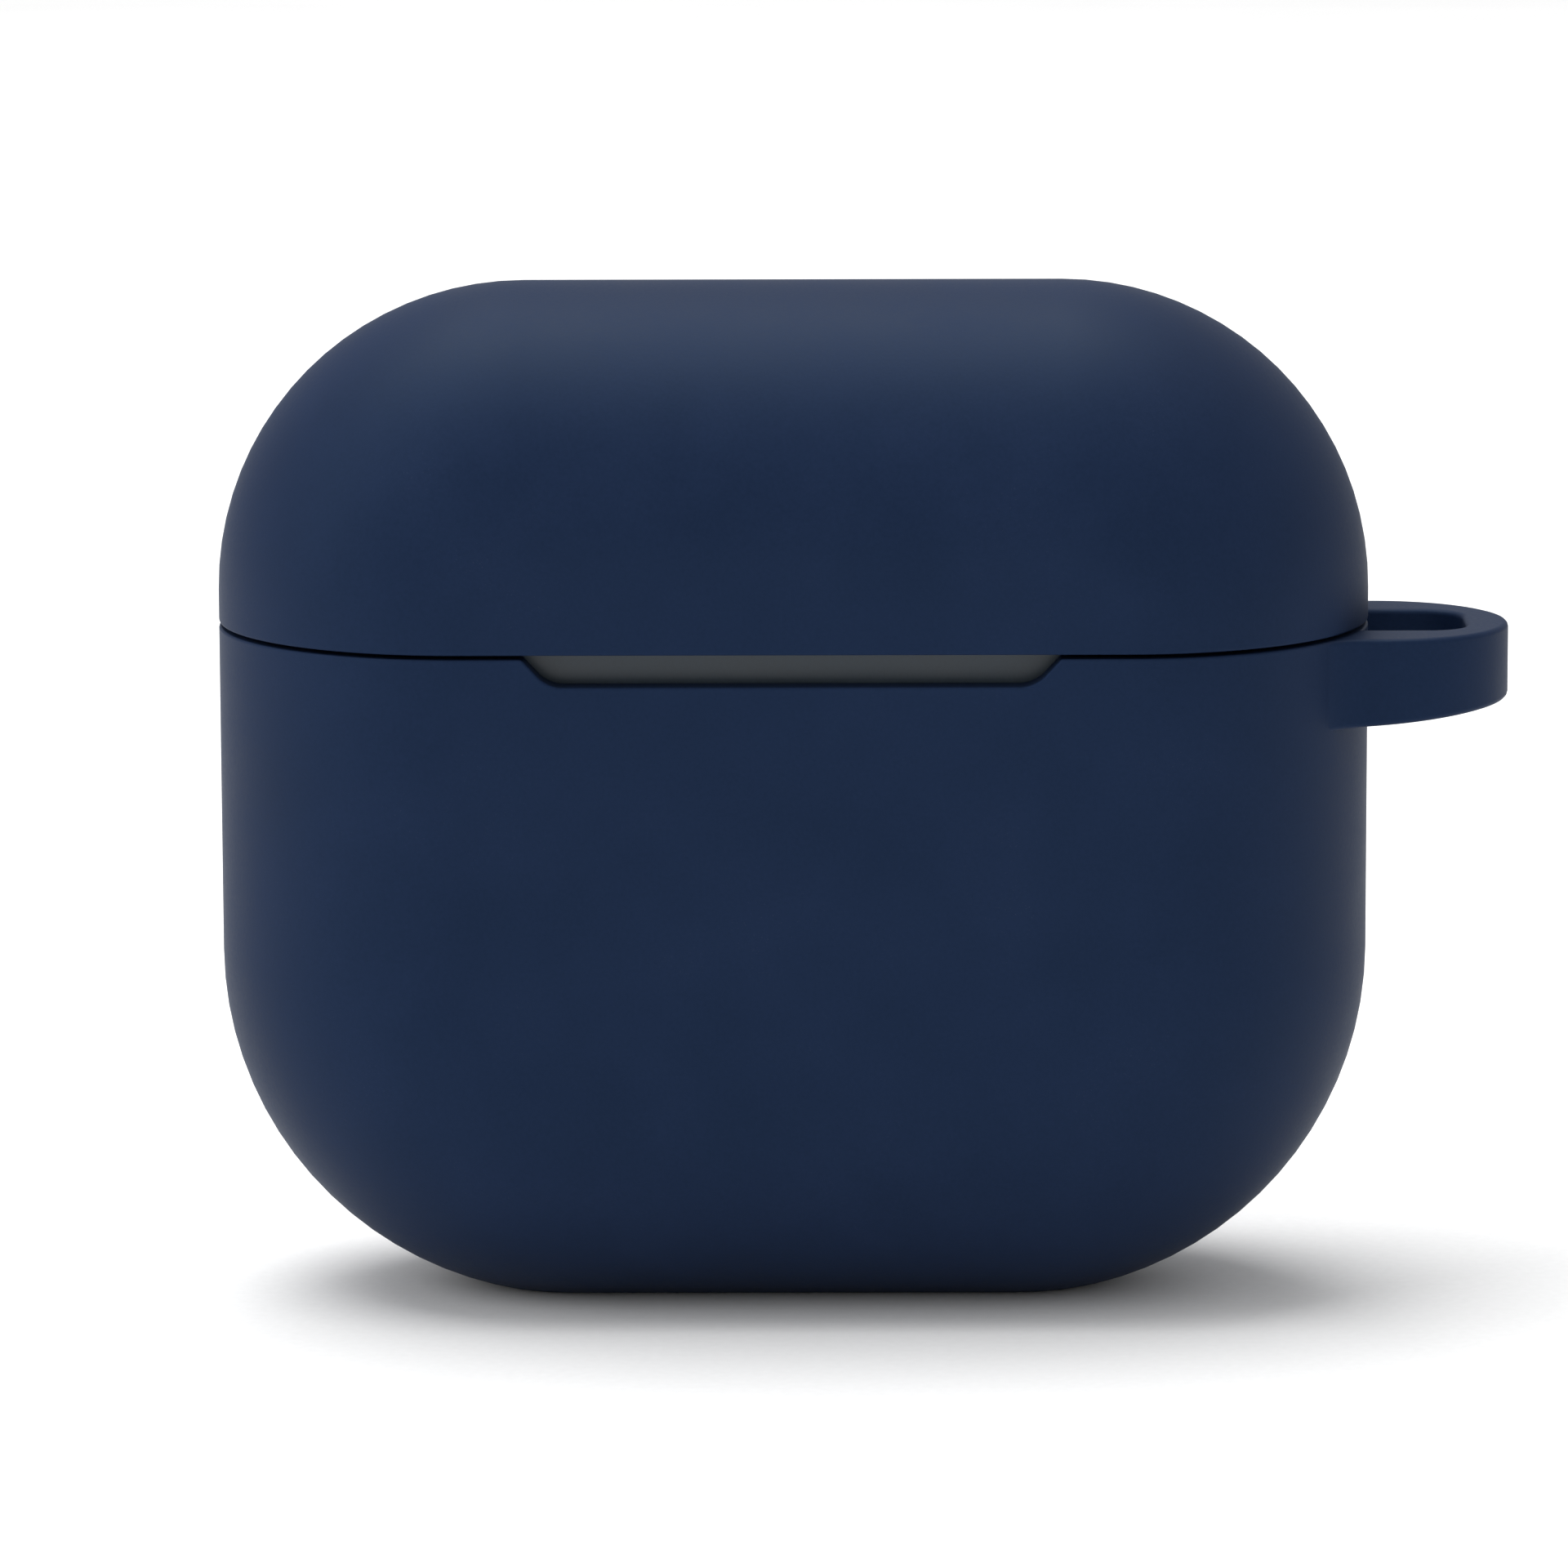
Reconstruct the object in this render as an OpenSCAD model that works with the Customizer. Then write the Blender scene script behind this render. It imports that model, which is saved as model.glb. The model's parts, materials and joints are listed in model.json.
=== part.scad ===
// Wireless earbuds case in a two-piece silicone sleeve with a side loop.
// Millimetres. X across the width, front is -Y, hinge at the back is +Y, +Z up.
// The origin is the centre of the flat underside.

/* [Sleeve] */
// Width of the sleeve, without the loop
sleeve_w = 57.8; // [52:0.1:70]
// Depth of the sleeve, front to back
sleeve_d = 24.8; // [23:0.1:30]
// Height of the sleeve over the flat underside
sleeve_h = 51; // [46:0.05:62]
// Radius of the two top corners, seen from the front
top_corner_r = 15.4; // [15:0.1:18]
// Radius of the two bottom corners, seen from the front
bottom_corner_r = 17.8; // [15:0.1:20]
// How much of the round bottom the flat underside takes off
foot_cut = 0.6; // [0.3:0.05:1]
// Thickness of the silicone
sleeve_wall = 1.6; // [1.2:0.05:2]

/* [Seam and thumb notch] */
// Height of the seam between base and lid
seam_h = 33.9; // [28:0.1:42]
// Gap between the two rims
seam_gap = 0.2; // [0.1:0.05:0.4]
// Width of the thumb notch at the rim
notch_w = 26.3; // [12:0.1:30]
// Depth of the thumb notch
notch_depth = 1.4; // [0.8:0.05:2]
// How far each notch side slopes in
notch_slope = 1.2; // [0.2:0.05:3]

/* [Side loop] */
// How far the loop stands out from the sleeve
loop_reach = 7.05; // [6.5:0.05:9]
// Radius of the round outer end, seen from above
loop_tip_r = 6.5; // [5.5:0.1:7]
// Radius of the hollow that blends the loop into the sleeve
loop_fillet = 3; // [2:0.1:4]
// Height of the loop where it leaves the sleeve
loop_root_h = 4.4; // [4:0.1:5.5]
// Height of the loop at its outer end
loop_tip_h = 3.8; // [3:0.1:4]
// Thickness of the ring at its end
loop_band = 2.2; // [1.6:0.1:2.6]
// Half width of the eye
loop_eye_w = 3.25; // [2.8:0.05:3.8]
// Corner radius of the eye
loop_eye_r = 1.9; // [0.8:0.1:2.4]

/* [Case shells] */
// Wall of the base shell
base_wall = 1.3; // [1:0.05:1.6]
// Wall of the lid shell
lid_wall = 1.2; // [1:0.05:1.6]
// Gap left where one shell drops inside another
fit_gap = 0.05; // [0.02:0.01:0.1]

/* [Hinge] */
// Radius of the hinge barrel
barrel_r = 1.3; // [1.1:0.05:1.5]
// Radius of the hinge pin
pin_r = 0.6; // [0.4:0.05:0.7]
// Running clearance of the lid knuckles on the pin
pin_gap = 0.05; // [0.02:0.01:0.09]
// Length of one knuckle
knuckle_l = 4; // [3:0.1:5]
// Gap between neighbouring knuckles
knuckle_gap = 0.1; // [0.05:0.05:0.3]
// Thickness of a hinge leaf
leaf_t = 0.8; // [0.6:0.05:1]
// How far the lid opens, in degrees
lid_open = 100; // [80:1:100]

/* [Earbud wells] */
// Distance of each earbud pocket from the middle
pocket_x = 14.2; // [13.5:0.1:15]
// Radius of the earbud pocket
pocket_r = 7.9; // [7:0.1:8.1]
// Radius of the hollow above it in the lid
dome_r = 8.3; // [7.5:0.1:8.4]
// Wall of the pockets and domes
pocket_wall = 1; // [0.8:0.1:1.1]
// Distance of each stem well from the middle
stem_x = 9.9; // [9.8:0.1:10.2]
// Radius of the stem well
stem_r = 3.4; // [3:0.1:3.6]
// Height of the stem well floor
stem_floor = 12.4; // [11.5:0.1:14]
// Thickness of the stem well floor
stem_floor_t = 1.2; // [1:0.1:1.4]
// Thickness of the tray and lid liner plates
plate_t = 1.6; // [1.4:0.1:2]

/* [Board and battery] */
// Size of the main board
board = [36, 14, 0.8];
// Height of the underside of the main board
board_z = 8.8; // [8:0.1:9]
// Distance of the board screws from the middle
boss_x = 16; // [15:0.1:16.5]
// Width and depth of the battery
cell = [9.6, 11.6];
// Room left between the battery and the tray
cell_room = 1.1; // [0.5:0.1:2]
// Thickness of the foam under the battery
foam_t = 1; // [0.5:0.1:1.2]

/* [Charging port] */
// Outside of the receptacle, long and short side
port = [8.94, 3.16];
// Wall of the receptacle
port_wall = 0.3; // [0.2:0.05:0.4]
// Width of the trim ring round the receptacle
port_trim = 0.75; // [0.5:0.05:1]
// Opening in the sleeve under the receptacle
port_cut = [13, 6.4];

/* [Setup button] */
// Radius of the button
button_r = 3; // [2.5:0.1:3.2]
// Gap round the button
button_gap = 0.1; // [0.05:0.05:0.2]
// Radius of the opening in the sleeve
button_cut_r = 4.5; // [4:0.1:5]
// Height of the button
button_z = 19.4; // [18.5:0.1:20.5]
// How far the button goes in
button_travel = 0.3; // [0.2:0.05:0.4]

/* [Charging coil] */
// Outside of the coil, width and height
coil = [32, 15];
// Opening of the coil, width and height
coil_eye = [16.4, 8.2];
// Thickness of the coil
coil_t = 0.6; // [0.4:0.05:0.7]
// Thickness of the ferrite sheet
ferrite_t = 0.4; // [0.2:0.05:0.5]

/* [Spring contacts] */
// Half distance of the two contacts in one well
contact_y = 1.3; // [1.1:0.1:1.6]
// Radius of a contact barrel
contact_r = 0.85; // [0.75:0.05:0.9]
// Radius of the plunger inside its barrel
plunger_r = 0.45; // [0.35:0.05:0.5]
// Radius of the plunger tip
plunger_tip_r = 0.32; // [0.25:0.01:0.34]
// How far the tip stands over the well floor
plunger_out = 0.9; // [0.7:0.05:1.2]
// How far the plunger goes down
plunger_travel = 0.6; // [0.4:0.05:0.7]

/* [Hidden] */
$fn = 96;
eps = 0.01;

// The whole outline is a bar with a full round edge, bent round the four corners. Every shell is the
// same shape set in from the outside by some depth, so all walls are even.
half_d = sleeve_d / 2;
low_z = bottom_corner_r - foot_cut;
high_z = sleeve_h - top_corner_r;
rim_low = seam_h - seam_gap / 2;
rim_high = seam_h + seam_gap / 2;

// Depths of the nested surfaces below the outside of the sleeve
in_sleeve = sleeve_wall;
in_case = in_sleeve + fit_gap;
in_base = in_case + base_wall;
in_tray = in_base + fit_gap;
in_lid = in_case + lid_wall;
in_liner = in_lid + fit_gap;

case_back = half_d - in_case;
base_inner = half_d - in_base;
tray_back = half_d - in_tray;
liner_back = half_d - in_liner;

// Hinge: the axis lies in the back face of the case
hinge_y = case_back;
hinge_half = 2.5 * knuckle_l + 2 * knuckle_gap;
hinge_proud = half_d - hinge_y;
window_gap = 0.2;
window_half = hinge_half + window_gap;
window_h = barrel_r + window_gap;
relief_gap = 0.15;
relief_low_r = hinge_proud / cos(lid_open / 2) + relief_gap;
relief_lid_r = hinge_proud + relief_gap;
relief_half = sleeve_w / 2 - half_d + sqrt(pow(half_d, 2) - pow(hinge_y, 2)) + 2 * relief_gap;
knuckle_step = knuckle_l + knuckle_gap;

// A leaf lies just off the axis: a strip behind the pockets and a tongue between them
leaf_drop = 0.3;
leaf_l = 4.9;
leaf_strip = 2.5;
leaf_front = hinge_y - leaf_l;
leaf_middle = hinge_y - leaf_strip;
leaf_back = hinge_y - barrel_r - 0.5;
leaf_gap = 0.1;
tongue_half = 7;
hinge_screw_x = [-5.5, 5.5];
hinge_screw_y = (leaf_front + leaf_middle) / 2;
hinge_screw_r = 0.4;
hinge_head_r = 0.75;
hinge_head_h = 0.2;
hinge_screw_l = leaf_t + 0.5;

// Plates that close the base and the lid, just off the seam
plate_drop = 0.2;
tray_top = seam_h - plate_drop;
plate_low = tray_top - plate_t;
liner_low = seam_h + plate_drop;
liner_top = liner_low + plate_t;

// Thumb pad between the front of the lid shell and the sleeve
pad = [20, 0.3, 2.8];
pad_z = rim_high + 1.3;

// Magnets that hold the lid shut, and those that hold the buds
magnet = [8, 2, 2];
magnet_y = -tray_back + magnet[1];
bud_magnet = [2, 1.5];
bud_magnet_x = pocket_x + 4.3;
bud_magnet_wall = 0.6;
bud_magnet_z = tray_top - pocket_r - pocket_wall - bud_magnet[1] - 0.3;

// Ledges and bosses inside the base shell
ledge_in = sleeve_w / 2 - 5.6;
ledge_t = 2;
shell_floor = in_base - foot_cut;
board_boss_r = 1.8;
board_screw_r = 0.55;
board_screw_l = board[2] + 3;
board_head = [1.2, 0.6];
bracket_boss_r = 1.2;
bracket_boss_x = 6;
bracket_screw_r = 0.45;
bracket_screw_l = 2.4;
bracket_head = [0.9, 0.4];

// Chips under the board and over it: centre x and y, width, depth, height
board_corner_r = 1;
board_top = board_z + board[2];
chips_under = [[-10.5, 0, 5, 5, 0.9], [-6.4, 4.4, 2, 2, 0.6], [-11.2, -4.6, 2.8, 2.4, 0.7]];
chips_over = [[13.5, -5.5, 2.6, 1.4, 0.5], [-13.5, 5.5, 2.6, 1.4, 0.5]];
can = [7.6, 9, 1.3];
can_x = 9.8;
can_wall = 0.2;

// The receptacle's mouth lies just inside the round bottom of the case
port_low = in_case - foot_cut + 0.4;
port_depth = 6.2;
tongue = [6.7, 0.7];
tongue_sink = 0.8;
ring_proud = 0.1;
ring_t = 1.1;

// Battery and its foam
foam = [7.2, 8.8];
cell_z = board_top + foam_t;
cell_h = plate_low - cell_room - cell_z;
cell_corner_r = 1.2;

// Flat cables: width, and how far the foot runs over the board
flex_t = 0.15;
flex_foot = 1;
battery_flex = [3, 5];
coil_flex_x = [-4, -1];
led_flex_w = 1.6;
button_flex_x = [2.2, 3.8];

coil_z = low_z - bottom_corner_r + half_d + coil[1] / 2 + 0.4;

// Button: cap, stub, then the switch on its bracket
button_flange_r = button_r + 0.6;
button_flange_t = 0.6;
stub_r = 0.9;
stub_end = base_inner - button_flange_t - button_travel;
press_slack = 0.05;
nub = [1.1, 0.3];
switch_y = stub_end - press_slack - button_travel - nub[1];
switch = [3.5, 3];
bracket = [15, 0.4, 5];
bracket_corner_r = 1;
bracket_y = cell[1] / 2 + 0.1;
bracket_back = bracket_y + bracket[1];

// Status light behind a thin skin of the case
led_r = 0.45;
led_z = seam_h - 1;
led_skin = 0.3;
led = [1.6, 0.6, 0.8];
led_room = 0.3;
led_back = -base_inner + fit_gap + led[1];
hall = [1.4, 0.6, 1.4];
hall_z = plate_low - magnet[2] - 3;

// Spring contacts in the order of the nodes: left front, left rear, right front, right rear
contacts = [
    [-stem_x, -contact_y], [-stem_x, contact_y], [stem_x, -contact_y], [stem_x, contact_y]
];
barrel_low = board_top;
spring_low = barrel_low + 0.4;
spring_l = plunger_travel + 0.7;
plunger_low = spring_low + spring_l;
plunger_top = stem_floor + plunger_out;
plunger_gap = 0.05;
lip_t = 0.2;
spring_wire_r = 0.07;
spring_gap = 0.02;

// How far the loop's fillets run into the sleeve
loop_sink = 0.06;

silicone = [0.13, 0.18, 0.26];
slate = [0.22, 0.25, 0.28];
steel = [0.62, 0.63, 0.65];
gold = [0.83, 0.67, 0.35];
copper = [0.72, 0.43, 0.25];
board_green = [0.08, 0.24, 0.16];
amber = [0.75, 0.45, 0.14];

// ---------------------------------------------------------------- outline

// Plan of the straight middle part
module plan(depth) {
    square([sleeve_w - sleeve_d, sleeve_d - 2 * depth], center = true);
    for (side = [-1, 1])
        translate([side * (sleeve_w / 2 - half_d), 0])
            circle(half_d - depth);
}

module plan_ring(outer, inner) {
    difference() {
        plan(outer);
        plan(inner);
    }
}

// Section of the rim, from the corner's own axis outwards
module edge(corner_r, depth) {
    translate([0, depth - half_d])
        square([corner_r - half_d, sleeve_d - 2 * depth]);
    intersection() {
        translate([corner_r - half_d, 0])
            circle(half_d - depth);
        translate([corner_r - half_d, -half_d])
            square([half_d, sleeve_d]);
    }
}

module edge_ring(corner_r, outer, inner) {
    difference() {
        edge(corner_r, outer);
        if (inner > 0)
            edge(corner_r, inner);
    }
}

// One end of the body, above z = 0: a straight bar and the two corners
module cap_end(corner_r, outer, inner) {
    span = sleeve_w - 2 * corner_r;
    translate([-span / 2, 0, 0])
        rotate([90, 0, 90])
            linear_extrude(span)
                rotate(90)
                    edge_ring(corner_r, outer, inner);
    for (side = [0, 1])
        mirror([side, 0, 0])
            translate([span / 2, 0, 0])
                rotate([90, 0, 0])
                    rotate_extrude(angle = 90)
                        edge_ring(corner_r, outer, inner);
}

// Hollow lower half, from the bottom up to height top
module lower_half(outer, inner, top) {
    translate([0, 0, low_z])
        linear_extrude(top - low_z)
            plan_ring(outer, inner);
    translate([0, 0, low_z])
        mirror([0, 0, 1])
            cap_end(bottom_corner_r, outer, inner);
}

// Hollow upper half, from height bottom up to the top
module upper_half(outer, inner, bottom) {
    translate([0, 0, bottom])
        linear_extrude(high_z - bottom)
            plan_ring(outer, inner);
    translate([0, 0, high_z])
        cap_end(top_corner_r, outer, inner);
}

// ---------------------------------------------------------------- small shapes

// Block given by its lowest and highest corners
module block(low, high) {
    translate(low)
        cube(high - low);
}

// Cylinder along Y, from y0 to y1
module rod_y(r, y0, y1, x = 0, z = 0) {
    translate([x, y0, z])
        rotate([-90, 0, 0])
            cylinder(r = r, h = y1 - y0);
}

// Cylinder along X, centred on x
module rod_x(r, length, x = 0) {
    translate([x, hinge_y, seam_h])
        rotate([0, 90, 0])
            cylinder(r = r, h = length, center = true);
}

// Rectangle with round ends, long side first
module slot_2d(size, grow = 0) {
    square([size[0] - size[1], size[1] + 2 * grow], center = true);
    for (side = [-1, 1])
        translate([side * (size[0] - size[1]) / 2, 0])
            circle(size[1] / 2 + grow);
}

// Rectangle with round corners
module round_rect(size, r) {
    square([size[0] - 2 * r, size[1]], center = true);
    square([size[0], size[1] - 2 * r], center = true);
    for (x = [-1, 1], y = [-1, 1])
        translate([x * (size[0] / 2 - r), y * (size[1] / 2 - r)])
            circle(r);
}

module screw(head_r, head_h, shaft_r, shaft_l) {
    difference() {
        cylinder(r = head_r, h = head_h);
        translate([0, 0, head_h / 2])
            cylinder(r = head_r * 0.5, h = head_h, $fn = 6);
    }
    translate([0, 0, -shaft_l])
        cylinder(r = shaft_r, h = shaft_l + eps);
}

// ---------------------------------------------------------------- sleeve

module loop() {
    side = sleeve_w / 2;
    tip = side + loop_reach;
    circle_x = tip - loop_tip_r;
    end_x = side - half_d;
    // Centre of the fillet: it runs a little into the round end of the sleeve and touches the loop's end
    gap = circle_x - end_x;
    root_r = half_d - loop_sink + loop_fillet;
    fillet_x = (pow(root_r, 2) - pow(loop_tip_r + loop_fillet, 2) + pow(gap, 2)) / (2 * gap);
    fillet_y = sqrt(pow(root_r, 2) - pow(fillet_x, 2));
    eye_end = tip - loop_band;
    eye_l = 2 * loop_reach;
    intersection() {
        translate([0, 0, rim_low - loop_root_h])
            linear_extrude(loop_root_h)
                difference() {
                    union() {
                        polygon([
                            [end_x, 0], [end_x + fillet_x, fillet_y],
                            [circle_x, 0], [end_x + fillet_x, -fillet_y]
                        ]);
                        translate([circle_x, 0])
                            circle(loop_tip_r);
                    }
                    for (y = [-fillet_y, fillet_y])
                        translate([end_x + fillet_x, y])
                            circle(loop_fillet);
                    translate([eye_end - eye_l / 2, 0])
                        round_rect([eye_l, 2 * loop_eye_w], loop_eye_r);
                    plan(sleeve_wall / 2);
                }
        // Side view: flat on top, thinner towards the end
        translate([0, half_d, rim_low])
            rotate([90, 0, 0])
                linear_extrude(sleeve_d)
                    polygon([
                        [0, 0], [tip, 0], [tip, -loop_tip_h], [side, -loop_root_h], [0, -loop_root_h]
                    ]);
    }
}

module notch() {
    half = notch_w / 2;
    translate([0, sleeve_wall - half_d + eps, rim_low])
        rotate([90, 0, 0])
            linear_extrude(2 * sleeve_wall)
                polygon([
                    [-half - 1, 1], [-half, 0], [notch_slope - half, -notch_depth],
                    [half - notch_slope, -notch_depth], [half, 0], [half + 1, 1]
                ]);
}

module sleeve_lower() {
    color(silicone)
        difference() {
            union() {
                lower_half(0, in_sleeve, rim_low);
                loop();
            }
            translate([0, 0, -foot_cut - 1])
                linear_extrude(foot_cut + 1)
                    square([sleeve_w, sleeve_d], center = true);
            notch();
            rod_x(relief_low_r, 2 * relief_half);
            translate([0, 0, -1])
                linear_extrude(sleeve_wall + 4)
                    slot_2d(port_cut);
            rod_y(button_cut_r, base_inner, half_d + 1, 0, button_z);
        }
}

module sleeve_lid() {
    color(silicone)
        difference() {
            upper_half(0, in_sleeve, rim_high);
            rod_x(relief_lid_r, 2 * relief_half);
            block([-pad[0] / 2 - fit_gap, -case_back - pad[1] - fit_gap, pad_z - fit_gap],
                [pad[0] / 2 + fit_gap, -case_back + 1, pad_z + pad[2] + fit_gap]);
        }
}

module lid_grip_pad() {
    color("gainsboro")
        block([-pad[0] / 2, -case_back - pad[1], pad_z], [pad[0] / 2, -case_back, pad_z + pad[2]]);
}

// ---------------------------------------------------------------- case shells

module hinge_window() {
    block([-window_half, base_inner - 1, seam_h - window_h],
        [window_half, half_d, seam_h + window_h]);
}

module base_shell() {
    color(slate)
        difference() {
            union() {
                lower_half(in_case, in_base, rim_low);
                // Ledges under the ends of the tray
                for (side = [-1, 1])
                    intersection() {
                        translate([0, 0, plate_low - ledge_t])
                            linear_extrude(ledge_t)
                                plan(in_case + base_wall / 2);
                        translate([side * (ledge_in + sleeve_w / 2) / 2, 0, plate_low - ledge_t / 2])
                            cube([sleeve_w / 2 - ledge_in, sleeve_d, ledge_t], center = true);
                    }
                // Bosses for the board
                for (side = [-1, 1])
                    translate([side * boss_x, 0, shell_floor])
                        cylinder(r = board_boss_r, h = board_z - shell_floor);
                // Bosses for the button bracket
                for (side = [-1, 1])
                    rod_y(bracket_boss_r, bracket_back, base_inner + base_wall / 2,
                        side * bracket_boss_x, button_z);
            }
            // Trim everything to the round outside of the case
            difference() {
                block([-sleeve_w, -sleeve_d, -foot_cut], [sleeve_w, sleeve_d, low_z]);
                lower_half(in_case, 0, low_z + 1);
            }
            for (side = [-1, 1]) {
                translate([side * boss_x, 0, board_top - board_screw_l - 0.4])
                    cylinder(r = board_screw_r, h = board_screw_l);
                rod_y(bracket_screw_r, bracket_y, bracket_y + bracket_screw_l + 0.2,
                    side * bracket_boss_x, button_z);
            }
            hinge_window();
            translate([0, 0, -1])
                linear_extrude(in_base + 3)
                    slot_2d(port, port_trim + fit_gap);
            rod_y(button_r + button_gap, base_inner - 1, half_d, 0, button_z);
            rod_y(led_r + fit_gap, -case_back + led_skin, -base_inner + 1, 0, led_z);
        }
}

module lid_shell() {
    color(slate)
        difference() {
            upper_half(in_case, in_lid, rim_high);
            hinge_window();
        }
}

// ---------------------------------------------------------------- inside of the lid

module lid_liner() {
    color(slate)
        difference() {
            union() {
                translate([0, 0, liner_low])
                    linear_extrude(plate_t)
                        plan(in_liner);
                for (side = [-1, 1])
                    intersection() {
                        translate([side * pocket_x, 0, liner_low])
                            sphere(dome_r + pocket_wall);
                        translate([side * pocket_x, 0, liner_low + dome_r])
                            cube([4 * dome_r, 2 * liner_back, 2 * dome_r + 2 * eps], center = true);
                    }
            }
            for (side = [-1, 1])
                translate([side * pocket_x, 0, liner_low])
                    sphere(dome_r);
            leaf_recess(liner_low - 1, seam_h + leaf_drop + leaf_t);
            for (x = hinge_screw_x)
                translate([x, hinge_screw_y, liner_low])
                    cylinder(r = hinge_screw_r, h = plate_t + 1);
        }
}

module latch_magnet_lid() {
    color("silver")
        block([-magnet[0] / 2, magnet_y - magnet[1] / 2, liner_top],
            [magnet[0] / 2, magnet_y + magnet[1] / 2, liner_top + magnet[2]]);
}

// ---------------------------------------------------------------- hinge

// T shape of a hinge leaf
module leaf_plan(grow, back) {
    translate([-hinge_half - grow, leaf_middle - grow])
        square([2 * (hinge_half + grow), back - leaf_middle + grow]);
    translate([-tongue_half - grow, leaf_front - grow])
        square([2 * (tongue_half + grow), back - leaf_front + grow]);
}

// Pocket in a plate that takes a hinge leaf
module leaf_recess(low, high) {
    translate([0, 0, low])
        linear_extrude(high - low)
            leaf_plan(leaf_gap, half_d);
}

// Leaf below the axis with the knuckles centred at the given places
module leaf(centres, bore_r) {
    difference() {
        union() {
            translate([0, 0, -leaf_drop - leaf_t])
                linear_extrude(leaf_t)
                    leaf_plan(0, leaf_back);
            for (x = centres) {
                block([x - knuckle_l / 2, leaf_back - eps, -leaf_drop - leaf_t],
                    [x + knuckle_l / 2, hinge_y, -leaf_drop]);
                translate([x, hinge_y, 0])
                    rotate([0, 90, 0])
                        cylinder(r = barrel_r, h = knuckle_l, center = true);
            }
        }
        translate([0, hinge_y, 0])
            rotate([0, 90, 0])
                cylinder(r = bore_r, h = 3 * hinge_half, center = true);
        for (x = hinge_screw_x)
            translate([x, hinge_screw_y, -leaf_drop - leaf_t - 1])
                cylinder(r = hinge_screw_r + fit_gap, h = leaf_t + 2);
    }
}

module hinge_leaf_base() {
    color(steel)
        translate([0, 0, seam_h])
            leaf([-2, 0, 2] * knuckle_step, pin_r);
}

module hinge_leaf_lid() {
    color(steel)
        translate([0, 0, seam_h])
            mirror([0, 0, 1])
                leaf([-1, 1] * knuckle_step, pin_r + pin_gap);
}

module hinge_pin() {
    color("silver")
        rod_x(pin_r, 2 * hinge_half);
}

module hinge_screws_base() {
    color("silver")
        for (x = hinge_screw_x)
            translate([x, hinge_screw_y, seam_h - leaf_drop])
                screw(hinge_head_r, hinge_head_h, hinge_screw_r, hinge_screw_l);
}

module hinge_screws_lid() {
    color("silver")
        for (x = hinge_screw_x)
            translate([x, hinge_screw_y, seam_h + leaf_drop])
                mirror([0, 0, 1])
                    screw(hinge_head_r, hinge_head_h, hinge_screw_r, hinge_screw_l);
}

// ---------------------------------------------------------------- earbud tray

module bud_tray() {
    color(slate)
        difference() {
            union() {
                translate([0, 0, plate_low])
                    linear_extrude(plate_t)
                        plan(in_tray);
                for (side = [-1, 1]) {
                    intersection() {
                        translate([side * pocket_x, 0, tray_top])
                            sphere(pocket_r + pocket_wall);
                        translate([side * pocket_x, 0, tray_top - pocket_r])
                            cube([4 * pocket_r, 4 * pocket_r, 2 * pocket_r], center = true);
                    }
                    translate([side * stem_x, 0, stem_floor - stem_floor_t])
                        cylinder(r = stem_r + pocket_wall, h = plate_low - stem_floor + stem_floor_t + eps);
                    translate([side * bud_magnet_x, 0, bud_magnet_z])
                        cylinder(r = bud_magnet[0] + bud_magnet_wall,
                            h = tray_top - pocket_r / 2 - bud_magnet_z);
                }
            }
            for (side = [-1, 1]) {
                translate([side * pocket_x, 0, tray_top])
                    sphere(pocket_r);
                translate([side * stem_x, 0, stem_floor])
                    cylinder(r = stem_r, h = tray_top - stem_floor);
                translate([side * bud_magnet_x, 0, bud_magnet_z - 1])
                    cylinder(r = bud_magnet[0], h = bud_magnet[1] + 1);
                for (y = [-contact_y, contact_y])
                    translate([side * stem_x, y, board_top])
                        cylinder(r = contact_r, h = stem_floor);
            }
            leaf_recess(seam_h - leaf_drop - leaf_t, seam_h);
            for (x = hinge_screw_x)
                translate([x, hinge_screw_y, plate_low - 1])
                    cylinder(r = hinge_screw_r, h = plate_t + 1);
            // Pocket for the status light
            block([-led[0] / 2 - led_room, -sleeve_d, plate_low - 1],
                [led[0] / 2 + led_room, led_back + 2 * flex_t, led_z + led[2] / 2 + 2 * fit_gap]);
        }
}

module bud_magnets() {
    color("silver")
        for (side = [-1, 1])
            translate([side * bud_magnet_x, 0, bud_magnet_z])
                cylinder(r = bud_magnet[0], h = bud_magnet[1]);
}

module latch_magnet_base() {
    color("silver")
        block([-magnet[0] / 2, magnet_y - magnet[1] / 2, plate_low - magnet[2]],
            [magnet[0] / 2, magnet_y + magnet[1] / 2, plate_low]);
}

// ---------------------------------------------------------------- board, port and battery

module main_board() {
    color(board_green)
        difference() {
            translate([0, 0, board_z])
                linear_extrude(board[2])
                    round_rect([board[0], board[1]], board_corner_r);
            for (side = [-1, 1])
                translate([side * boss_x, 0, 0])
                    cylinder(r = board_screw_r + fit_gap, h = 2 * board_z);
        }
}

module board_screws() {
    color("silver")
        for (side = [-1, 1])
            translate([side * boss_x, 0, board_top])
                screw(board_head[0], board_head[1], board_screw_r, board_screw_l);
}

// Box on the board, low at z, from its row in the lists above
module chip(row, z) {
    translate([row[0] - row[2] / 2, row[1] - row[3] / 2, z])
        cube([row[2], row[3], row[4]]);
}

module board_chips() {
    color([0.1, 0.1, 0.11]) {
        for (row = chips_under)
            chip(row, board_z - row[4]);
        for (row = chips_over)
            chip(row, board_top);
    }
}

module shield_can() {
    color(steel)
        difference() {
            chip([can_x, 0, can[0], can[1], can[2]], board_z - can[2]);
            chip([can_x, 0, can[0] - 2 * can_wall, can[1] - 2 * can_wall, can[2]],
                board_z - can[2] + can_wall);
        }
}

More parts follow.
